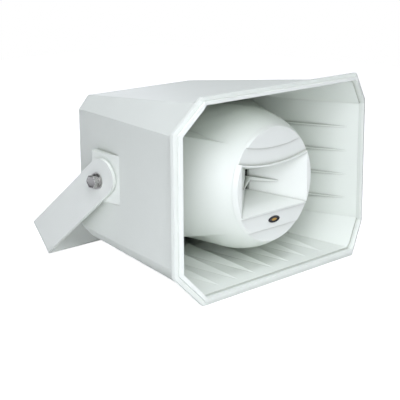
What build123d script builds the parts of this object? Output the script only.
from build123d import *
import os
from math import sin, cos, tan, radians, sqrt, pi

# Weatherproof two-way horn loudspeaker on a tilting U bracket.  Millimetres, +Z up, mouth facing -Y.
# Everything is drawn in horn coordinates (mouth plane y = 0, horn axis along +Y, z = 0 at mouth
# centre) and is moved once, at export, so the origin sits on the bracket's centre fixing hole.

# ---- cabinet shell -------------------------------------------------------------------------
MOUTH_W, MOUTH_H = 380.0, 258.0        # mouth flange outline
MOUTH_CX, MOUTH_CZ = 38.0, 41.0        # flange corner cut, along x and along z
SIDE_RAKE = 12.0                       # the flange ends sweep back by this much over the corner cut
FLANGE_T = 5.5                         # flange thickness
TRIM_PROUD = 2.5                       # trim ring stands this far in front of the flange
TRIM_REBATE = 1.5                      # and sits this deep in it
TRIM_INSET = 5.0                       # flange edge to trim ring edge
OPEN_INSET_X, OPEN_INSET_Z = 10.5, 9.5 # flange edge to clear opening
WALL = 3.0                             # moulded wall
SHELL_W, SHELL_H, SHELL_C = 373.2, 241.5, 38.0   # outside of the flare at the mouth plane
REAR_W, REAR_H, REAR_C = 234.0, 199.0, 17.5      # outside of the flare at the rear
REAR_RISE = 1.5                        # rear outline sits slightly higher than the mouth
DEPTH = 266.0                          # mouth plane to rear edge
SIDE_RIB_Z = (-54.5, -20.5, 13.5, 47.5)
SIDE_RIB_T, SIDE_RIB_H = 1.8, 3.5
PLEAT_X = tuple(-105.0 + 35.0 * i for i in range(7))
PLEAT_W, PLEAT_H, PLEAT_Y0, PLEAT_Y1 = 28.0, 8.0, 7.0, 140.0   # the crest stays 1 mm below the central body
PLEAT_DEPTHS = (22.0, 40.0, 65.0, 95.0, 140.0)                  # sections of each pleat
PLEAT_GROW = 0.7                       # below 1, the pleat rises fast at its tip and then levels off

# ---- pivot ---------------------------------------------------------------------------------
PIVOT_Y = 192.0
PAD_X = 146.0                          # outer face of the pivot pads
PAD_Z0, PAD_Z1, PAD_Y1 = -28.0, 37.0, 214.0
BOLT_D, BOLT_HEAD_AF, BOLT_HEAD_H = 10.0, 16.0, 6.4
WASHER_D, WASHER_T, SPRING_D, SPRING_T = 22.0, 2.0, 18.0, 2.5
FRICTION_D, FRICTION_T = 30.0, 1.5
INSERT_D, INSERT_L = 16.0, 20.0

# ---- bracket -------------------------------------------------------------------------------
STRAP_W, STRAP_T = 50.0, 5.0
ARM_LEN = 165.0                        # pivot to outer face of the crossbar
ARM_END, ARM_END_R = 32.0, 23.0         # strap beyond the pivot, corner radius there
BEND_R = 5.0                           # inside bend radius
BRACKET_DROP = 38.7                    # arms point this far below the horizontal, backwards
WALL_HOLE_D, SIDE_HOLE_D, SIDE_HOLE_X = 12.0, 9.0, 60.0

# ---- central body --------------------------------------------------------------------------
BULB_R, BULB_Y, BULB_Z = 95.0, 74.8, -2.7
BULB_WALL = 3.0
BARREL_Y1 = 155.0                      # rear end of the straight barrel
FACE_SEAT_Y = 21.0                     # plane on which the high-frequency horn plate sits
STRUT_ANGLE = 30.0                     # the side struts lean out from the axis by this angle
STRUT_HALF, STRUT_GROW = 58.0, 0.14    # half height at the nose and its growth per mm backwards
STRUT_SWELL = 0.06                     # the strut stands this much prouder of the ball per mm backwards
STRUT_Y1 = 204.0
STRUT_GAP = 0.3
TAIL_BOSS_R = 86.0                     # screw circle of the tail
TAIL_BOSS_ANGLE = 65.0                 # screws sit above and below the struts, where the barrel has its wall
SEAL_T = 2.0
TAIL_TIP_Y = 199.0

# ---- high-frequency horn -------------------------------------------------------------------
LIP_Y, SHELF_Y, EDGE_Y = 14.9, 16.9, 18.9        # three terraces of the face
HF_MOUTH_X = 66.0
HF_MOUTH_Z0, HF_MOUTH_Z1, HF_MOUTH_SAG = -37.5, 22.3, 7.7
HF_LIP_T = 2.2
HF_STEP_Z0, HF_STEP_Z1, HF_STEP_SAG = -61.2, 46.3, 10.0
HF_THROAT_Y, HF_THROAT_X, HF_THROAT_Z = 64.0, 4.0, 14.0
HF_AXIS_Z = -4.0
HF_FLANGE_T, HF_FLANGE_R = 4.0, 36.0
HF_DOME_R = 12.5

# ---- low-frequency driver ------------------------------------------------------------------
BAFFLE_Y0, BAFFLE_T = 208.0, 5.0
LEDGE_T, LEDGE_W = 4.0, 14.0
LF_HOLE_R, LF_FRAME_R, LF_GASKET_T = 56.0, 67.0, 1.5
LF_Y = BAFFLE_Y0 + BAFFLE_T + LF_GASKET_T        # front of the driver frame
LF_CONE_R, LF_FORMER_R = 45.0, 12.6
LF_SCREW_R = 62.5

# ---- rear cover ----------------------------------------------------------------------------
REAR_LEDGE_Y0, REAR_LEDGE_T, REAR_LEDGE_W = 252.0, 8.0, 12.0
REAR_GASKET_T, COVER_T, COVER_GAP = 1.5, 4.0, 0.5
COVER_Y0 = REAR_LEDGE_Y0 + REAR_LEDGE_T + REAR_GASKET_T
COVER_Y1 = COVER_Y0 + COVER_T
GLAND_Z = -70.0

FIT = 0.05                             # bonded, threaded and pressed parts
RUN = 0.3                              # loose clearance

DROP = radians(BRACKET_DROP)
ORIGIN_Y = PIVOT_Y + ARM_LEN * cos(DROP)
ORIGIN_Z = -ARM_LEN * sin(DROP)


# ---- drawing helpers -----------------------------------------------------------------------
def front_plane(y):
    """Drawing plane at depth y: local x is +X, local y is +Z."""
    return Plane(origin=(0, y, 0), x_dir=(1, 0, 0), z_dir=(0, -1, 0))


def slab(sketch, y0, y1):
    """Sketch drawn in (x, z), made solid from y0 back to y1."""
    return extrude(front_plane(y0) * sketch, amount=-(y1 - y0))


def poly(points):
    return make_face(Polyline(*points, close=True))


def plan(points, z0, z1):
    """Outline in (x, y) made solid from z0 up to z1."""
    return Pos(0, 0, z0) * extrude(poly(points), amount=z1 - z0)


def side_view(points, x0, x1):
    """Outline in (y, z) made solid from x0 to x1."""
    plane = Plane(origin=(x0, 0, 0), x_dir=(0, 1, 0), z_dir=(1, 0, 0))
    return extrude(plane * poly(points), amount=x1 - x0)


def octagon(w, h, cx, cz, dz=0.0):
    a, b = w / 2, h / 2
    pts = [(-a, b - cz), (-a + cx, b), (a - cx, b), (a, b - cz),
           (a, -b + cz), (a - cx, -b), (-a + cx, -b), (-a, -b + cz)]
    return poly([(x, z + dz) for x, z in pts])


def lathe(points, x=0.0, z=0.0):
    """Closed outline in (radius, y) turned about the depth axis through (x, z)."""
    return Pos(x, 0, z) * revolve(poly(points), axis=Axis.Y, revolution_arc=360)


def ring(r0, r1, y0, y1, x=0.0, z=0.0):
    if r0 <= 0:
        return lathe([(0, y0), (r1, y0), (r1, y1), (0, y1)], x, z)
    return lathe([(r0, y0), (r1, y0), (r1, y1), (r0, y1)], x, z)


def x_cylinder(r, x0, x1, y, z):
    return Plane(origin=(min(x0, x1), y, z), z_dir=(1, 0, 0)) * Cylinder(
        r, abs(x1 - x0), align=(Align.CENTER, Align.CENTER, Align.MIN))


def box(x0, x1, y0, y1, z0, z1):
    return Pos((x0 + x1) / 2, (y0 + y1) / 2, (z0 + z1) / 2) * Box(x1 - x0, y1 - y0, z1 - z0)


def group(items):
    return Compound(children=list(items))


def both(item):
    """The part and its mirror image across the symmetry plane."""
    return [item, mirror(item, about=Plane.YZ)]


def polar_points(n, r, start):
    return [(r * cos(radians(start + 360 * i / n)), r * sin(radians(start + 360 * i / n)))
            for i in range(n)]


# ---- shell geometry ------------------------------------------------------------------------
def half_width(y):
    return SHELL_W / 2 - y * (SHELL_W - REAR_W) / 2 / DEPTH


def floor_z(y):
    return -SHELL_H / 2 + y * ((SHELL_H - REAR_H) / 2 + REAR_RISE) / DEPTH


def roof_z(y):
    return SHELL_H / 2 - y * ((SHELL_H - REAR_H) / 2 - REAR_RISE) / DEPTH


def flare(g, y0=-20.0, y1=DEPTH):
    """Tapering octagonal block of the horn flare, g inside the outer skin."""
    def at(y):
        t = y / DEPTH
        w = SHELL_W + (REAR_W - SHELL_W) * t - 2 * g
        h = SHELL_H + (REAR_H - SHELL_H) * t - 2 * g
        c = SHELL_C + (REAR_C - SHELL_C) * t - g * (2 - sqrt(2))
        return front_plane(y) * octagon(w, h, c, c, REAR_RISE * t)
    return loft([at(y0), at(y1)], ruled=True)


def raked(y0, y1):
    """Sheet between two depths that follows the swept-back mouth line."""
    knee = MOUTH_W / 2 - MOUTH_CX
    run = 60.0
    back = SIDE_RAKE * run / MOUTH_CX
    pts = [(-knee - run, y0 + back), (-knee, y0), (knee, y0), (knee + run, y0 + back),
           (knee + run, y1 + back), (knee, y1), (-knee, y1), (-knee - run, y1 + back)]
    return plan(pts, -160, 160)


def mouth_outline(ix, iz):
    k = 2 - sqrt(2)
    return octagon(MOUTH_W - 2 * ix, MOUTH_H - 2 * iz, MOUTH_CX - ix * k, MOUTH_CZ - iz * k)


def cabinet_shell():
    skin = flare(0) & raked(0, 400)
    flange = slab(mouth_outline(0, 0), -10, 60) & raked(0, FLANGE_T)
    body = skin + flange
    body -= flare(WALL, -30, DEPTH + 5) & raked(FLANGE_T, 500)
    opening = slab(mouth_outline(OPEN_INSET_X, OPEN_INSET_Z), -10, 60) & raked(-5, FLANGE_T + 0.2)
    body -= opening
    body -= slab(mouth_outline(TRIM_INSET, TRIM_INSET), -10, 60) & raked(-5, TRIM_REBATE)
    # ledge behind the throat baffle and ledge under the rear cover
    y0 = BAFFLE_Y0 + BAFFLE_T
    for ya, yb, w in ((y0, y0 + LEDGE_T, LEDGE_W),
                      (REAR_LEDGE_Y0, REAR_LEDGE_Y0 + REAR_LEDGE_T, REAR_LEDGE_W)):
        body += (flare(WALL / 2) - flare(WALL + w)) & box(-300, 300, ya, yb, -200, 200)
    # pivot pads: flat outside faces that run out into the tapering side walls
    y_pad = (SHELL_W / 2 - PAD_X) * DEPTH / ((SHELL_W - REAR_W) / 2)
    skinned = WALL / 2
    pad = plan([(PAD_X, y_pad), (PAD_X, PAD_Y1 - 6), (PAD_X - 6, PAD_Y1), (half_width(PAD_Y1) - skinned, PAD_Y1),
                (half_width(y_pad) - skinned, y_pad)], PAD_Z0, PAD_Z1)
    for item in both(pad):
        body += item
    # stiffening ribs on the side walls, dying out toward the mouth
    for z in SIDE_RIB_Z:
        ya, yb = 32.0, 125.0
        inner = lambda y: half_width(y) - WALL * 1.03
        rib = plan([(inner(ya) + 1, ya), (inner(yb) + 1, yb), (inner(yb) - SIDE_RIB_H, yb),
                    (inner(yb - 45) - SIDE_RIB_H, yb - 45), (inner(ya), ya)],
                   z - SIDE_RIB_T / 2, z + SIDE_RIB_T / 2)
        for item in both(rib):
            body += item
    # tapered pleats on the floor, running out toward the mouth
    for x in PLEAT_X:
        def section(y):
            base, share = floor_z(y) + WALL * 0.6, ((y - PLEAT_Y0) / (PLEAT_Y1 - PLEAT_Y0)) ** PLEAT_GROW
            return front_plane(y) * poly([(x - PLEAT_W * share, base), (x + 3 * share, base),
                                          (x, base + PLEAT_H * share)])
        tip = Vertex(x, PLEAT_Y0, floor_z(PLEAT_Y0) + WALL * 0.6 + 0.3)
        pleat = loft([tip] + [section(y) for y in PLEAT_DEPTHS], ruled=True)
        body += pleat & flare(WALL * 0.5)
    # bores: pivot bolts, baffle screws, rear cover screws
    for x in (-1, 1):
        body -= x_cylinder(BOLT_D / 2 + 0.5, x * 100, x * 170, PIVOT_Y, 0)
    for x, z in baffle_screw_points():
        body -= ring(0, 1.7, y0 - 1, y0 + LEDGE_T + 1, x, z)
    for x, z in cover_screw_points():
        body -= ring(0, 1.7, REAR_LEDGE_Y0 - 1, REAR_LEDGE_Y0 + REAR_LEDGE_T + 1, x, z)
    return body


def mouth_trim():
    band = slab(mouth_outline(TRIM_INSET + 0.15, TRIM_INSET + 0.15), -10, 60)
    band -= slab(mouth_outline(OPEN_INSET_X, OPEN_INSET_Z), -20, 80)
    return band & raked(-TRIM_PROUD, TRIM_REBATE)


def baffle_screw_points():
    yb = BAFFLE_Y0 + BAFFLE_T
    up, dn = roof_z(yb) - WALL - LEDGE_W / 2, floor_z(yb) + WALL + LEDGE_W / 2
    return [(x, z) for z in (up, dn) for x in (-72.0, 0.0, 72.0)]


def cover_screw_points():
    yb = REAR_LEDGE_Y0 + REAR_LEDGE_T
    xs = half_width(yb) - WALL - REAR_LEDGE_W / 2
    up, dn = roof_z(yb) - WALL - REAR_LEDGE_W / 2, floor_z(yb) + WALL + REAR_LEDGE_W / 2
    return [(x, z) for x in (-xs, xs) for z in (-45.0, 48.0)] + [(x, z) for z in (up, dn) for x in (-55.0, 55.0)]


# ---- central body --------------------------------------------------------------------------
def throat_passage(g):
    """Turned space behind the barrel that the sound path needs; g makes it wider."""
    r0, r1 = BULB_R + 3 + g, 66.0 + g
    return lathe([(0, BARREL_Y1 + g * 0.5), (r0, BARREL_Y1 + g * 0.5), (r1, STRUT_Y1 + 10), (0, STRUT_Y1 + 10)], 0, BULB_Z)


def strut(side, g):
    """Leaning side strut that leaves the ball at its own radius and swells backwards, g inside its skin."""
    lean = radians(STRUT_ANGLE)
    axis = (side * sin(lean), cos(lean), 0)
    round_part = Plane(origin=(0, BULB_Y, BULB_Z), z_dir=axis) * Cone(
        BULB_R - g, BULB_R - g + STRUT_SWELL * 330, 330, align=(Align.CENTER, Align.CENTER, Align.MIN))
    y1 = STRUT_Y1 - g
    h0 = STRUT_HALF + STRUT_GROW * (0 - 30) - g
    h1 = STRUT_HALF + STRUT_GROW * (y1 - 30) - g
    wedge = side_view([(0, BULB_Z - h0), (y1, BULB_Z - h1), (y1, BULB_Z + h1), (0, BULB_Z + h0)], -250, 250)
    half = box(0, 300, -50, 400, -200, 200) if side > 0 else box(-300, 0, -50, 400, -200, 200)
    return round_part & wedge & half & flare(WALL + STRUT_GAP + g)


def tail_points():
    """Centres (x, z) of the four tail screws about the central body's axis."""
    x, z = TAIL_BOSS_R * cos(radians(TAIL_BOSS_ANGLE)), TAIL_BOSS_R * sin(radians(TAIL_BOSS_ANGLE))
    return [(x, z), (-x, z), (-x, -z), (x, -z)]


def body_block(g, back):
    """Ball, barrel and both struts as one block, g inside the skin."""
    block = Pos(0, BULB_Y, BULB_Z) * Sphere(BULB_R - g)
    block += ring(0, BULB_R - g, BULB_Y, back, 0, BULB_Z)
    block -= box(-200, 200, back, 400, -200, 200)
    for side in (-1, 1):
        block += strut(side, g) - throat_passage(g)
    return block


def bulb_body():
    body = body_block(0, BARREL_Y1)
    body -= body_block(BULB_WALL, BARREL_Y1 + 1)
    body -= box(-200, 200, -100, FACE_SEAT_Y, -200, 200)
    for side in (-1, 1):
        boss = x_cylinder(13.0, side * 100, side * 170, PIVOT_Y, 0) - box(-300, 300, STRUT_Y1, 300, -200, 200)
        body += (boss & flare(WALL + STRUT_GAP)) - throat_passage(0)
        body -= x_cylinder(INSERT_D / 2 + FIT, side * (insert_x() - INSERT_L), side * 200, PIVOT_Y, 0)
        body -= x_cylinder(BOLT_D / 2 + 0.5, side * 95, side * 200, PIVOT_Y, 0)
    for x, z in tail_points():
        body += ring(0, 7.0, 130.0, BARREL_Y1, x, z + BULB_Z)
    for x, z in tail_points():
        body -= ring(0, 1.7, 135.0, BARREL_Y1 + 1, x, z + BULB_Z)
    return body


def insert_x():
    """Outer end of the threaded inserts, just inside the shell wall."""
    return half_width(PIVOT_Y + INSERT_D / 2) - WALL * 1.04 - STRUT_GAP - 0.2


def bulb_seal_ring():
    seal = ring(BULB_R - BULB_WALL, BULB_R - 0.2, BARREL_Y1, BARREL_Y1 + SEAL_T, 0, BULB_Z)
    return seal


def bulb_tail():
    y = BARREL_Y1 + SEAL_T
    r = BULB_R
    outer = [(0, y), (r, y), (r - 4, y + 8), (r - 20, y + 19), (50, 187), (22, 196), (0, TAIL_TIP_Y)]
    hollow = [(0, y - 1), (76, y - 1), (72, y + 12), (48, y + 24), (20, y + 35), (0, y + 37)]
    body = lathe(outer) - lathe(hollow)
    body += ring(76, r - BULB_WALL - RUN, BARREL_Y1 - 4, y) - group(
        [ring(0, 8.0, BARREL_Y1 - 5, y - 0.01, x, z) for x, z in tail_points()])
    for x, z in tail_points():
        body -= ring(0, 2.2, BARREL_Y1 - 8, 200, x, z)
        body -= ring(0, 3.9, y + 5, 200, x, z)
    return Pos(0, 0, BULB_Z) * body


def screw(x, z, seat, direction, d, length, head_d, head_h):
    """Pan-head screw along y; direction +1 drives it toward +y from its seat."""
    if direction > 0:
        parts = ring(0, d / 2, seat, seat + length, x, z) + ring(0, head_d / 2, seat - head_h, seat, x, z)
        slot = box(x - head_d * 0.3, x + head_d * 0.3, seat - head_h - 1, seat - head_h * 0.55, z - 0.45, z + 0.45)
    else:
        parts = ring(0, d / 2, seat - length, seat, x, z) + ring(0, head_d / 2, seat, seat + head_h, x, z)
        slot = box(x - head_d * 0.3, x + head_d * 0.3, seat + head_h * 0.55, seat + head_h + 1, z - 0.45, z + 0.45)
    return parts - slot


def bulb_tail_screws():
    seat = BARREL_Y1 + SEAL_T + 5
    return group([screw(x, z + BULB_Z, seat, -1, 3.3, 22, 7.0, 2.6) for x, z in tail_points()])


# ---- high-frequency horn and driver --------------------------------------------------------
def arc_band(x, z_low, z_mid, sag):
    """Region between a straight lower edge and an upper edge that dips by sag at the middle."""
    top = ThreePointArc((-x, z_mid + sag), (0, z_mid), (x, z_mid + sag))
    rest = Polyline((x, z_mid + sag), (x, z_low), (-x, z_low), (-x, z_mid + sag))
    return make_face([top, rest])


def funnel(t, y0, y1):
    """Tapering passage of the high-frequency horn, t outside its inner surface."""
    def at(y):
        k = (y - LIP_Y) / (HF_THROAT_Y - LIP_Y)
        x = HF_MOUTH_X + (HF_THROAT_X - HF_MOUTH_X) * k + t
        low = HF_MOUTH_Z0 + (HF_AXIS_Z - HF_THROAT_Z - HF_MOUTH_Z0) * k - t
        mid = HF_MOUTH_Z1 + (HF_AXIS_Z + HF_THROAT_Z - HF_MOUTH_Z1) * k + t
        return front_plane(y) * arc_band(x, low, mid, HF_MOUTH_SAG * (1 - k) + 0.02)
    return loft([at(y0), at(y1)], ruled=True)


def hf_horn():
    ball = Pos(0, BULB_Y, BULB_Z) * Sphere(BULB_R)
    face = slab(octagon(200, 200, 1, 1), EDGE_Y, FACE_SEAT_Y)
    # the face steps back as it goes down: one step above the mouth, two below it
    face += box(-90, 90, SHELF_Y, FACE_SEAT_Y, HF_STEP_Z0, HF_AXIS_Z)
    upper = slab(arc_band(90, -150, HF_STEP_Z1, HF_STEP_SAG * 90 ** 2 / 70 ** 2), SHELF_Y - 1, FACE_SEAT_Y + 1)
    face += box(-100, 100, SHELF_Y, FACE_SEAT_Y, 0, 100) - upper
    face += slab(arc_band(90, HF_MOUTH_Z0 - HF_LIP_T, HF_MOUTH_Z1 + HF_LIP_T,
                          HF_MOUTH_SAG * 90 ** 2 / HF_MOUTH_X ** 2), LIP_Y, FACE_SEAT_Y)
    face &= ball
    seat_r = sqrt((BULB_R - BULB_WALL) ** 2 - (BULB_Y - FACE_SEAT_Y) ** 2) - RUN
    face += ring(seat_r - 2.5, seat_r, FACE_SEAT_Y, FACE_SEAT_Y + 4, 0, BULB_Z)
    horn = face + funnel(2.4, FACE_SEAT_Y - 2, HF_THROAT_Y)
    y1 = HF_THROAT_Y + HF_FLANGE_T
    horn += ring(0, HF_FLANGE_R, HF_THROAT_Y, y1, 0, HF_AXIS_Z)
    horn -= funnel(0, LIP_Y - 2, HF_THROAT_Y)
    horn -= box(-HF_THROAT_X, HF_THROAT_X, HF_THROAT_Y - 0.5, y1 + 1, HF_AXIS_Z - HF_THROAT_Z, HF_AXIS_Z + HF_THROAT_Z)
    # vane: a rib on each side wall that thins and sinks as it runs forward out of the throat
    z = HF_AXIS_Z
    vane = plan([(-34, 39), (0, 59), (34, 39), (34, y1), (-34, y1)], z - 20, z + 20)
    vane &= slab(poly([(-34, z - 5.0), (0, z - 0.5), (34, z - 5.0), (34, z - 3.0), (0, z + 4.5), (-34, z - 3.0)]), 30, y1)
    horn += vane & (funnel(1.2, 30, HF_THROAT_Y) + box(-HF_THROAT_X - 1, HF_THROAT_X + 1, HF_THROAT_Y - 1, y1, -40, 40))
    for x, z in polar_points(3, 31.0, 90):
        horn -= ring(0, 1.5, HF_THROAT_Y + 0.5, y1 + 1, x, z + HF_AXIS_Z)
    cx, cz = 0.0, BADGE_Z
    horn -= slab(Pos(cx, cz) * Ellipse(BADGE_A + 0.1, BADGE_B + 0.1), SHELF_Y - 1, SHELF_Y + 1.0)
    return horn


BADGE_Z, BADGE_A, BADGE_B = -50.4, 11.0, 4.3


def name_badge():
    plate = slab(Pos(0, BADGE_Z) * Ellipse(BADGE_A, BADGE_B), SHELF_Y - 0.8, SHELF_Y + 1.0)
    return plate - slab(Pos(0, BADGE_Z) * Ellipse(BADGE_A - 1.6, BADGE_B - 1.2), SHELF_Y - 1.5, SHELF_Y - 0.4)


def badge_emblem():
    mark = slab(Pos(0, BADGE_Z) * Ellipse(5.0, 1.6), SHELF_Y - 0.7, SHELF_Y - 0.4)
    return mark


def hf_gasket():
    y = HF_THROAT_Y + HF_FLANGE_T
    gasket = ring(20, HF_FLANGE_R - 1, y, y + 1.0, 0, HF_AXIS_Z)
    for x, z in polar_points(3, 31.0, 90):
        gasket -= ring(0, 1.9, y - 1, y + 2, x, z + HF_AXIS_Z)
    return gasket


HF_Y = HF_THROAT_Y + HF_FLANGE_T + 1.0   # front of the high-frequency motor
HF_DOME_Y = HF_Y + 3.6                    # rim of the dome
HF_M = HF_Y + 4.3                         # front of the motor top plate


def hf_top_plate():
    plate = ring(HF_DOME_R + 1.6, HF_FLANGE_R - 1, HF_M, HF_M + 3.5, 0, HF_AXIS_Z)
    plate += ring(20, HF_FLANGE_R - 1, HF_Y, HF_M, 0, HF_AXIS_Z)
    for x, z in polar_points(3, 31.0, 90):
        plate -= ring(0, 1.7, HF_Y - 1, HF_M + 5, x, z + HF_AXIS_Z)
    return plate


def hf_surround():
    r0, r1 = HF_DOME_R + 0.9, 20.0
    y = HF_DOME_Y
    pts = [(r0, y), (r0 + 2.2, y - 1.3), (r0 + 4.4, y), (r1 - 0.05, y), (r1 - 0.05, y + 0.65), (r0 + 4.2, y + 0.65),
           (r0 + 2.2, y - 0.7), (r0, y + 0.65)]
    return lathe(pts, 0, HF_AXIS_Z)


def hf_dome():
    """Soft dome and its short coil former."""
    r, rise, t = HF_DOME_R + 0.55, 3.2, 0.45
    y = HF_DOME_Y
    ball_r = (r * r + rise * rise) / (2 * rise)
    cap = (Pos(0, y - rise + ball_r, 0) * (Sphere(ball_r) - Sphere(ball_r - t))) & ring(0, r, y - rise - 1, y)
    former = ring(r - 0.4, r, y - 0.2, y + 5.0)
    lip = ring(r - 0.4, r + 0.33, y - 0.0, y + 0.65)
    return Pos(0, 0, HF_AXIS_Z) * (cap + former + lip)


def hf_voice_coil():
    r = HF_DOME_R + 0.55 + 0.02
    return ring(r, r + 0.5, HF_M + 0.4, HF_M + 3.4, 0, HF_AXIS_Z)


def hf_magnet():
    return ring(17.5, 28.0, HF_M + 3.5, HF_M + 12.5, 0, HF_AXIS_Z)


def hf_back_plate():
    plate = ring(0, 27.0, HF_M + 12.5, HF_M + 16.0, 0, HF_AXIS_Z)
    return plate + ring(0, HF_DOME_R - 0.5, HF_M + 0.2, HF_M + 12.5, 0, HF_AXIS_Z)


def hf_screws():
    return group([screw(x, z + HF_AXIS_Z, HF_M + 3.5, -1, 2.9, 10.5, 5.4, 2.0) for x, z in polar_points(3, 31.0, 90)])


# ---- low-frequency driver ------------------------------------------------------------------
def throat_baffle():
    plate = flare(WALL + 0.4) & box(-300, 300, BAFFLE_Y0, BAFFLE_Y0 + BAFFLE_T, -200, 200)
    plate -= lathe([(0, BAFFLE_Y0 - 1), (LF_HOLE_R + 5, BAFFLE_Y0 - 1), (LF_HOLE_R, BAFFLE_Y0 + 4),
                    (LF_HOLE_R, BAFFLE_Y0 + 6), (0, BAFFLE_Y0 + 6)])
    for x, z in baffle_screw_points():
        plate -= ring(0, 2.2, BAFFLE_Y0 - 1, BAFFLE_Y0 + 7, x, z)
    for x, z in polar_points(4, LF_SCREW_R, 45):
        plate -= ring(0, 1.8, BAFFLE_Y0 + 1.5, BAFFLE_Y0 + 7, x, z)
    return plate


def baffle_screws():
    return group([screw(x, z, BAFFLE_Y0, 1, 3.3, BAFFLE_T + LEDGE_T + 2, 7.0, 2.6) for x, z in baffle_screw_points()])


def woofer_gasket():
    y = BAFFLE_Y0 + BAFFLE_T
    gasket = ring(59.5, LF_FRAME_R, y, y + LF_GASKET_T)
    for x, z in polar_points(4, LF_SCREW_R, 45):
        gasket -= ring(0, 2.4, y - 1, y + 3, x, z)
    return gasket


def woofer_basket():
    y = LF_Y
    outline = [(52, y), (LF_FRAME_R, y), (LF_FRAME_R, y + 2.2), (58, y + 2.2), (40, y + 23), (40, y + 25.5),
               (16, y + 25.5), (16, y + 24), (36.5, y + 24), (36.5, y + 22.4), (53, y + 3.5), (52, y + 2.2)]
    frame = lathe(outline)
    for x, z in polar_points(4, 1.0, 0):
        a = 32.0
        pts = [(0, 0)] + [(90 * (x * cos(radians(b)) - z * sin(radians(b))),
                           90 * (z * cos(radians(b)) + x * sin(radians(b)))) for b in (-a, -a / 2, 0, a / 2, a)]
        frame -= slab(poly(pts), y + 5.5, y + 20.5)
    for x, z in polar_points(4, LF_SCREW_R, 45):
        frame -= ring(0, 2.3, y - 1, y + 4, x, z)
    return frame


def woofer_surround():
    y = LF_Y
    lo, hi, t = LF_CONE_R - 0.05, 53.0, 0.6
    mid, r = (lo + hi) / 2 + 0.2, 3.3
    roll = lathe([(mid - r, y)] + [(mid - r * cos(radians(a)), y - t - r * sin(radians(a))) for a in (30, 60, 90, 120, 150)]
                 + [(mid + r, y), (mid + r - t, y)]
                 + [(mid - (r - t) * cos(radians(a)), y - t - (r - t) * sin(radians(a))) for a in (150, 120, 90, 60, 30)]
                 + [(mid - r + t, y)])
    lip = ring(mid + r - t, 58.8, y - t, y)
    return roll + lip + ring(lo, mid - r + t, y - t, y)


def woofer_cone():
    """Paper cone with its coil former."""
    y, t = LF_Y, 0.9
    f = LF_FORMER_R
    cone = lathe([(LF_CONE_R - 0.15, y - 0.5), (LF_CONE_R - 0.15, y + t), (LF_CONE_R - 2.2, y + t), (f + 0.5, y + 18.4 + t),
                  (f + 0.5, y + 18.4 - 0.3), (f + 1.0, y + 18.0), (LF_CONE_R - 3.0, y - 0.5)])
    return cone + ring(f, f + 0.55, y + 17.0, y + 32.5)


def woofer_dust_cap():
    rise, r = 5.0, 18.0
    seat = LF_Y + 18.4 * (LF_CONE_R - 3 - r) / (LF_CONE_R - 3 - LF_FORMER_R - 1.0) - 0.9
    ball_r = (r * r + rise * rise) / (2 * rise)
    cap = Pos(0, seat - rise + ball_r, 0) * (Sphere(ball_r) - Sphere(ball_r - 0.7))
    return cap & ring(0, r, seat - rise - 1, seat)


def woofer_spider():
    y = LF_Y + 21.0
    r0, r1, t = LF_FORMER_R + 0.57, 36.4, 0.7
    xs = [r0 + 1.5 + (r1 - 5 - r0 - 1.5) * i / 8 for i in range(9)]
    wave = [y if i % 2 == 0 else y - 1.6 for i in range(9)]
    top = [(r0, y)] + list(zip(xs, wave)) + [(r1, y)]
    low = [(a, b + t) for a, b in reversed(top)]
    spider = lathe(top + low)
    return spider + ring(r1 - 2.5, r1, y, LF_Y + 24)


def woofer_voice_coil():
    r = LF_FORMER_R + 0.57
    return ring(r, r + 0.6, LF_Y + 24.2, LF_Y + 31.8)


def woofer_top_plate():
    return ring(LF_FORMER_R + 2.0, 38.0, LF_Y + 25.5, LF_Y + 30.0)


def woofer_magnet():
    return ring(22.0, 40.0, LF_Y + 30.0, LF_Y + 41.5)


def woofer_back_plate():
    pole = ring(0, LF_FORMER_R - 0.7, LF_Y + 25.0, LF_Y + 41.5)
    plate = ring(0, 38.0, LF_Y + 41.5, LF_Y + 45.5)
    return plate + pole - ring(0, 4.0, LF_Y + 20.0, LF_Y + 50)


def woofer_screws():
    return group([screw(x, z, LF_Y + 2.2, -1, 3.4, 2.2 + LF_GASKET_T + 3.2, 7.4, 2.6)
                  for x, z in polar_points(4, LF_SCREW_R, 45)])


# ---- rear cover and wiring -----------------------------------------------------------------
def rear_gasket():
    y = REAR_LEDGE_Y0 + REAR_LEDGE_T
    g = (flare(WALL + 0.6) - flare(WALL + REAR_LEDGE_W - 1)) & box(-300, 300, y, y + REAR_GASKET_T, -200, 200)
    for x, z in cover_screw_points():
        g -= ring(0, 2.2, y - 1, y + 3, x, z)
    return g


XFMR_X, XFMR_Z, XFMR_Y = -72.0, -52.0, COVER_Y0 - 24.0
BOARD_X, BOARD_Z, BOARD_Y = 76.0, -54.0, COVER_Y0 - 14.0
BOARD_W, BOARD_H, BOARD_T = 42.0, 44.0, 1.6
TERM_X, TERM_Z = 62.0, 52.0


def xfmr_points():
    return [(XFMR_X - 17, XFMR_Z - 14), (XFMR_X + 17, XFMR_Z + 14)]


def board_points():
    return [(BOARD_X + i * (BOARD_W / 2 - 4), BOARD_Z + j * (BOARD_H / 2 - 4)) for i in (-1, 1) for j in (-1, 1)]


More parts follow.
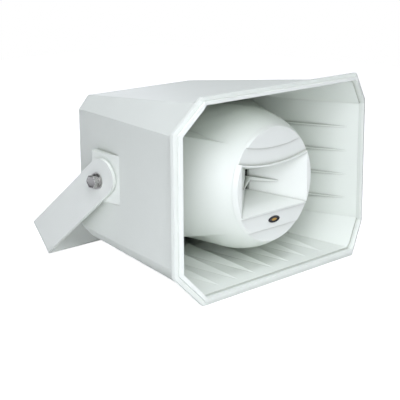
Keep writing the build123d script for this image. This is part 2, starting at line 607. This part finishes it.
def rear_cover():
    cover = flare(WALL + COVER_GAP) & box(-300, 300, COVER_Y0, COVER_Y1, -200, 200)
    for x, z in xfmr_points():
        cover += ring(0, 4.5, XFMR_Y + 14, COVER_Y0, x, z)
        cover -= ring(0, 1.75, XFMR_Y + 10, COVER_Y0 + 1, x, z)
    for x, z in cover_screw_points():
        cover -= ring(0, 2.2, COVER_Y0 - 1, COVER_Y1 + 1, x, z)
    for x, z in board_points():
        cover -= ring(0, 1.55, COVER_Y0 - 1, COVER_Y0 + 2.5, x, z)
    cover -= ring(0, 9.3, COVER_Y0 - 1, COVER_Y1 + 1, 0, GLAND_Z)
    cover += slab(octagon(150, 96, 12, 12, 8.0), COVER_Y1 - 0.01, COVER_Y1 + 1.2) - slab(
        octagon(144, 90, 10, 10, 8.0), COVER_Y1 - 1, COVER_Y1 + 3)
    return cover


def rear_cover_screws():
    return group([screw(x, z, COVER_Y1, -1, 3.3, COVER_T + REAR_GASKET_T + REAR_LEDGE_T, 7.0, 2.6)
                  for x, z in cover_screw_points()])


def rating_plate():
    return slab(Pos(0, 22.0) * RectangleRounded(64, 30, 3), COVER_Y1, COVER_Y1 + 0.6)


def transformer_core():
    core = box(XFMR_X - 22, XFMR_X + 22, XFMR_Y, XFMR_Y + 14, XFMR_Z - 18, XFMR_Z + 18)
    for s in (-1, 1):
        xa = XFMR_X + s * 9.5
        core -= box(xa - 4, xa + 4, XFMR_Y - 1, XFMR_Y + 15, XFMR_Z - 10, XFMR_Z + 10)
    for x, z in xfmr_points():
        core -= ring(0, 2.0, XFMR_Y - 1, XFMR_Y + 15, x, z)
    return core


def transformer_coil():
    coil = box(XFMR_X - 13.4, XFMR_X + 13.4, XFMR_Y - 6.5, XFMR_Y + 20.5, XFMR_Z - 9.8, XFMR_Z + 9.8)
    coil -= box(XFMR_X - 5.6, XFMR_X + 5.6, XFMR_Y - 0.1, XFMR_Y + 14.1, XFMR_Z - 30, XFMR_Z + 30)
    return coil


def transformer_bolts():
    return group([screw(x, z, XFMR_Y, 1, 3.3, 24.0, 6.4, 2.4) for x, z in xfmr_points()])


def crossover_board():
    board = box(BOARD_X - BOARD_W / 2, BOARD_X + BOARD_W / 2, BOARD_Y, BOARD_Y + BOARD_T,
                BOARD_Z - BOARD_H / 2, BOARD_Z + BOARD_H / 2)
    for x, z in board_points():
        board -= ring(0, 1.7, BOARD_Y - 1, BOARD_Y + 3, x, z)
    return board


def board_standoffs():
    posts = [ring(0, 3.0, BOARD_Y + BOARD_T, COVER_Y0, x, z) + ring(0, 1.5, COVER_Y0 - 1, COVER_Y0 + 2.3, x, z)
             - ring(0, 1.3, BOARD_Y + BOARD_T - 1, BOARD_Y + BOARD_T + 8, x, z) for x, z in board_points()]
    return group(posts)


def board_screws():
    return group([screw(x, z, BOARD_Y, 1, 2.5, 7.0, 5.2, 1.9) for x, z in board_points()])


CAP_L, CAP_RISE = 20.0, 6.0              # length of a capacitor and its centre above the board's


def crossover_capacitors():
    caps = []
    for i, (dx, r) in enumerate(((-6.0, 5.5), (7.0, 5.5))):
        can = Plane(origin=(BOARD_X + dx, BOARD_Y - r - 0.01, BOARD_Z + CAP_RISE), z_dir=(0, 0, 1)) * Cylinder(
            r, CAP_L, align=(Align.CENTER, Align.CENTER, Align.CENTER))
        caps.append(fillet(can.edges().filter_by(GeomType.CIRCLE), 0.8))
    return group(caps)


def crossover_inductor():
    return ring(3.0, 8.0, BOARD_Y - 9.0, BOARD_Y, BOARD_X, BOARD_Z - 14.0)


def terminal_block():
    y0 = COVER_Y0 - 13.0
    block = box(TERM_X - 18, TERM_X + 18, y0, COVER_Y0, TERM_Z - 7, TERM_Z + 7)
    for i in range(4):
        x = TERM_X - 13.5 + 9 * i
        block -= ring(0, 2.6, y0 - 1, y0 + 7, x, TERM_Z)
        block -= box(x - 2, x + 2, y0 + 3, y0 + 6.5, TERM_Z - 8, TERM_Z - 1)
    return block


def terminal_screws():
    y0 = COVER_Y0 - 13.0
    return group([screw(TERM_X - 13.5 + 9 * i, TERM_Z, y0 + 4.0, 1, 2.6, 2.95, 4.6, 2.0) for i in range(4)])


def gland_body():
    hexagon = RegularPolygon(12.7, 6)
    body = slab(Pos(0, GLAND_Z) * hexagon, COVER_Y1, COVER_Y1 + 5)
    body += ring(0, 9.1, COVER_Y0 - 8, COVER_Y1, 0, GLAND_Z)
    body += ring(0, 8.6, COVER_Y1 + 5, COVER_Y1 + 13, 0, GLAND_Z)
    return body - ring(0, 5.4, COVER_Y0 - 10, COVER_Y1 + 20, 0, GLAND_Z)


def gland_cap():
    cap = slab(Pos(0, GLAND_Z) * RegularPolygon(11.6, 6), COVER_Y1 + 5.3, COVER_Y1 + 14)
    cap += lathe([(0, COVER_Y1 + 14), (9.8, COVER_Y1 + 14), (7.6, COVER_Y1 + 19), (0, COVER_Y1 + 19)], 0, GLAND_Z)
    return cap - ring(0, 8.6 + FIT, COVER_Y1, COVER_Y1 + 15, 0, GLAND_Z)


def gland_seal():
    """Rubber cone closed by a blanking plug: no cable is fitted."""
    y = COVER_Y1
    return lathe([(0, y + 3), (5.3, y + 3), (5.3, y + 13.2), (8.4, y + 13.2), (8.4, y + 14.9), (0, y + 14.9)], 0, GLAND_Z)


def gland_locknut():
    nut = slab(Pos(0, GLAND_Z) * RegularPolygon(13.0, 6), COVER_Y0 - 5, COVER_Y0)
    return nut - ring(0, 9.1 + FIT, COVER_Y0 - 8, COVER_Y0 + 2, 0, GLAND_Z)


# ---- pivot hardware and bracket ------------------------------------------------------------
ARM_X0 = PAD_X + FRICTION_T
ARM_X1 = ARM_X0 + STRAP_T


def pivot_inserts():
    x1 = insert_x()
    sleeve = x_cylinder(INSERT_D / 2, x1 - INSERT_L + 0.3, x1, PIVOT_Y, 0)
    sleeve -= x_cylinder(BOLT_D / 2 + FIT, 50, 200, PIVOT_Y, 0)
    return group(both(sleeve))


def friction_washers():
    w = x_cylinder(FRICTION_D / 2, PAD_X, ARM_X0, PIVOT_Y, 0) - x_cylinder(BOLT_D / 2 + 0.3, 100, 200, PIVOT_Y, 0)
    return group(both(w))


def pivot_washers():
    w = x_cylinder(WASHER_D / 2, ARM_X1, ARM_X1 + WASHER_T, PIVOT_Y, 0)
    return group(both(w - x_cylinder(BOLT_D / 2 + 0.3, 100, 200, PIVOT_Y, 0)))


def spring_washers():
    x0 = ARM_X1 + WASHER_T
    w = x_cylinder(SPRING_D / 2, x0, x0 + SPRING_T, PIVOT_Y, 0) - x_cylinder(BOLT_D / 2 + 0.3, 100, 200, PIVOT_Y, 0)
    w -= box(100, 200, PIVOT_Y - 0.6, PIVOT_Y + 0.6, 2, 20)
    return group(both(w))


def pivot_bolts():
    x0 = ARM_X1 + WASHER_T + SPRING_T
    shank = x_cylinder(BOLT_D / 2, insert_x() - INSERT_L + 2, x0, PIVOT_Y, 0)
    head = extrude(Plane(origin=(x0, PIVOT_Y, 0), x_dir=(0, 1, 0), z_dir=(1, 0, 0))
                   * RegularPolygon(BOLT_HEAD_AF / 2 / cos(pi / 6), 6, rotation=12), amount=BOLT_HEAD_H)
    dome = Plane(origin=(x0, PIVOT_Y, 0), z_dir=(1, 0, 0)) * Cone(
        BOLT_HEAD_AF * 0.5 + 8.4, BOLT_HEAD_AF * 0.5 - 0.2, BOLT_HEAD_H, align=(Align.CENTER, Align.CENTER, Align.MIN))
    return group(both(shank + (head & dome)))


def mounting_bracket():
    """Flat bar bent into a U; drawn with its arms along +Y from the pivot, then swung down."""
    r0, r1 = BEND_R, BEND_R + STRAP_T
    outer = Pos(0, (ARM_LEN - ARM_END) / 2) * Rectangle(2 * ARM_X1, ARM_LEN + ARM_END)
    inner = Pos(0, (ARM_LEN - STRAP_T - ARM_END - 20) / 2) * Rectangle(2 * ARM_X0, ARM_LEN - STRAP_T + ARM_END + 20)
    strap = extrude(outer, amount=STRAP_W) - extrude(inner, amount=STRAP_W)
    strap = Pos(0, 0, -STRAP_W / 2) * strap
    corners = strap.edges().filter_by(Axis.Z)
    outside = [e for e in corners if abs(abs(e.center().X) - ARM_X1) < 0.01 and e.center().Y > ARM_LEN - 1]
    inside = [e for e in corners if abs(abs(e.center().X) - ARM_X0) < 0.01 and e.center().Y > ARM_LEN - STRAP_T - 1
              and e.center().Y < ARM_LEN - 1]
    strap = fillet(outside, r1)
    inside = [e for e in strap.edges().filter_by(Axis.Z)
              if abs(abs(e.center().X) - ARM_X0) < 0.01 and abs(e.center().Y - ARM_LEN + STRAP_T) < 0.01]
    strap = fillet(inside, r0)
    ends = [e for e in strap.edges().filter_by(Axis.X) if e.center().Y < -ARM_END + 0.01]
    strap = fillet(ends, ARM_END_R)
    for side in (-1, 1):
        strap -= x_cylinder(BOLT_D / 2 + 0.35, side * (ARM_X0 - 5), side * (ARM_X1 + 5), 0, 0)
    strap -= ring(0, WALL_HOLE_D / 2, ARM_LEN - 20, ARM_LEN + 20, 0, 0)
    for x in (-SIDE_HOLE_X, SIDE_HOLE_X):
        strap -= ring(0, SIDE_HOLE_D / 2, ARM_LEN - 20, ARM_LEN + 20, x, 0)
    return Pos(0, PIVOT_Y, 0) * (Rot(-BRACKET_DROP, 0, 0) * strap)


PARTS = [cabinet_shell, mouth_trim, bulb_body, bulb_seal_ring, bulb_tail, bulb_tail_screws,
         hf_horn, name_badge, badge_emblem, hf_gasket, hf_top_plate, hf_surround, hf_dome, hf_voice_coil,
         hf_magnet, hf_back_plate, hf_screws,
         throat_baffle, baffle_screws, woofer_gasket, woofer_basket, woofer_surround, woofer_cone,
         woofer_dust_cap, woofer_spider, woofer_voice_coil, woofer_top_plate, woofer_magnet,
         woofer_back_plate, woofer_screws,
         rear_gasket, rear_cover, rear_cover_screws, rating_plate, transformer_core, transformer_coil,
         transformer_bolts, crossover_board, board_standoffs, board_screws, crossover_capacitors,
         crossover_inductor, terminal_block, terminal_screws, gland_body, gland_cap, gland_seal,
         gland_locknut,
         pivot_inserts, pivot_bolts, pivot_washers, spring_washers, friction_washers, mounting_bracket]

os.makedirs("parts", exist_ok=True)
for make in PARTS:
    shape = Pos(0, -ORIGIN_Y, -ORIGIN_Z) * make()
    shape.label = make.__name__
    export_step(shape, os.path.join("parts", make.__name__ + ".step"))
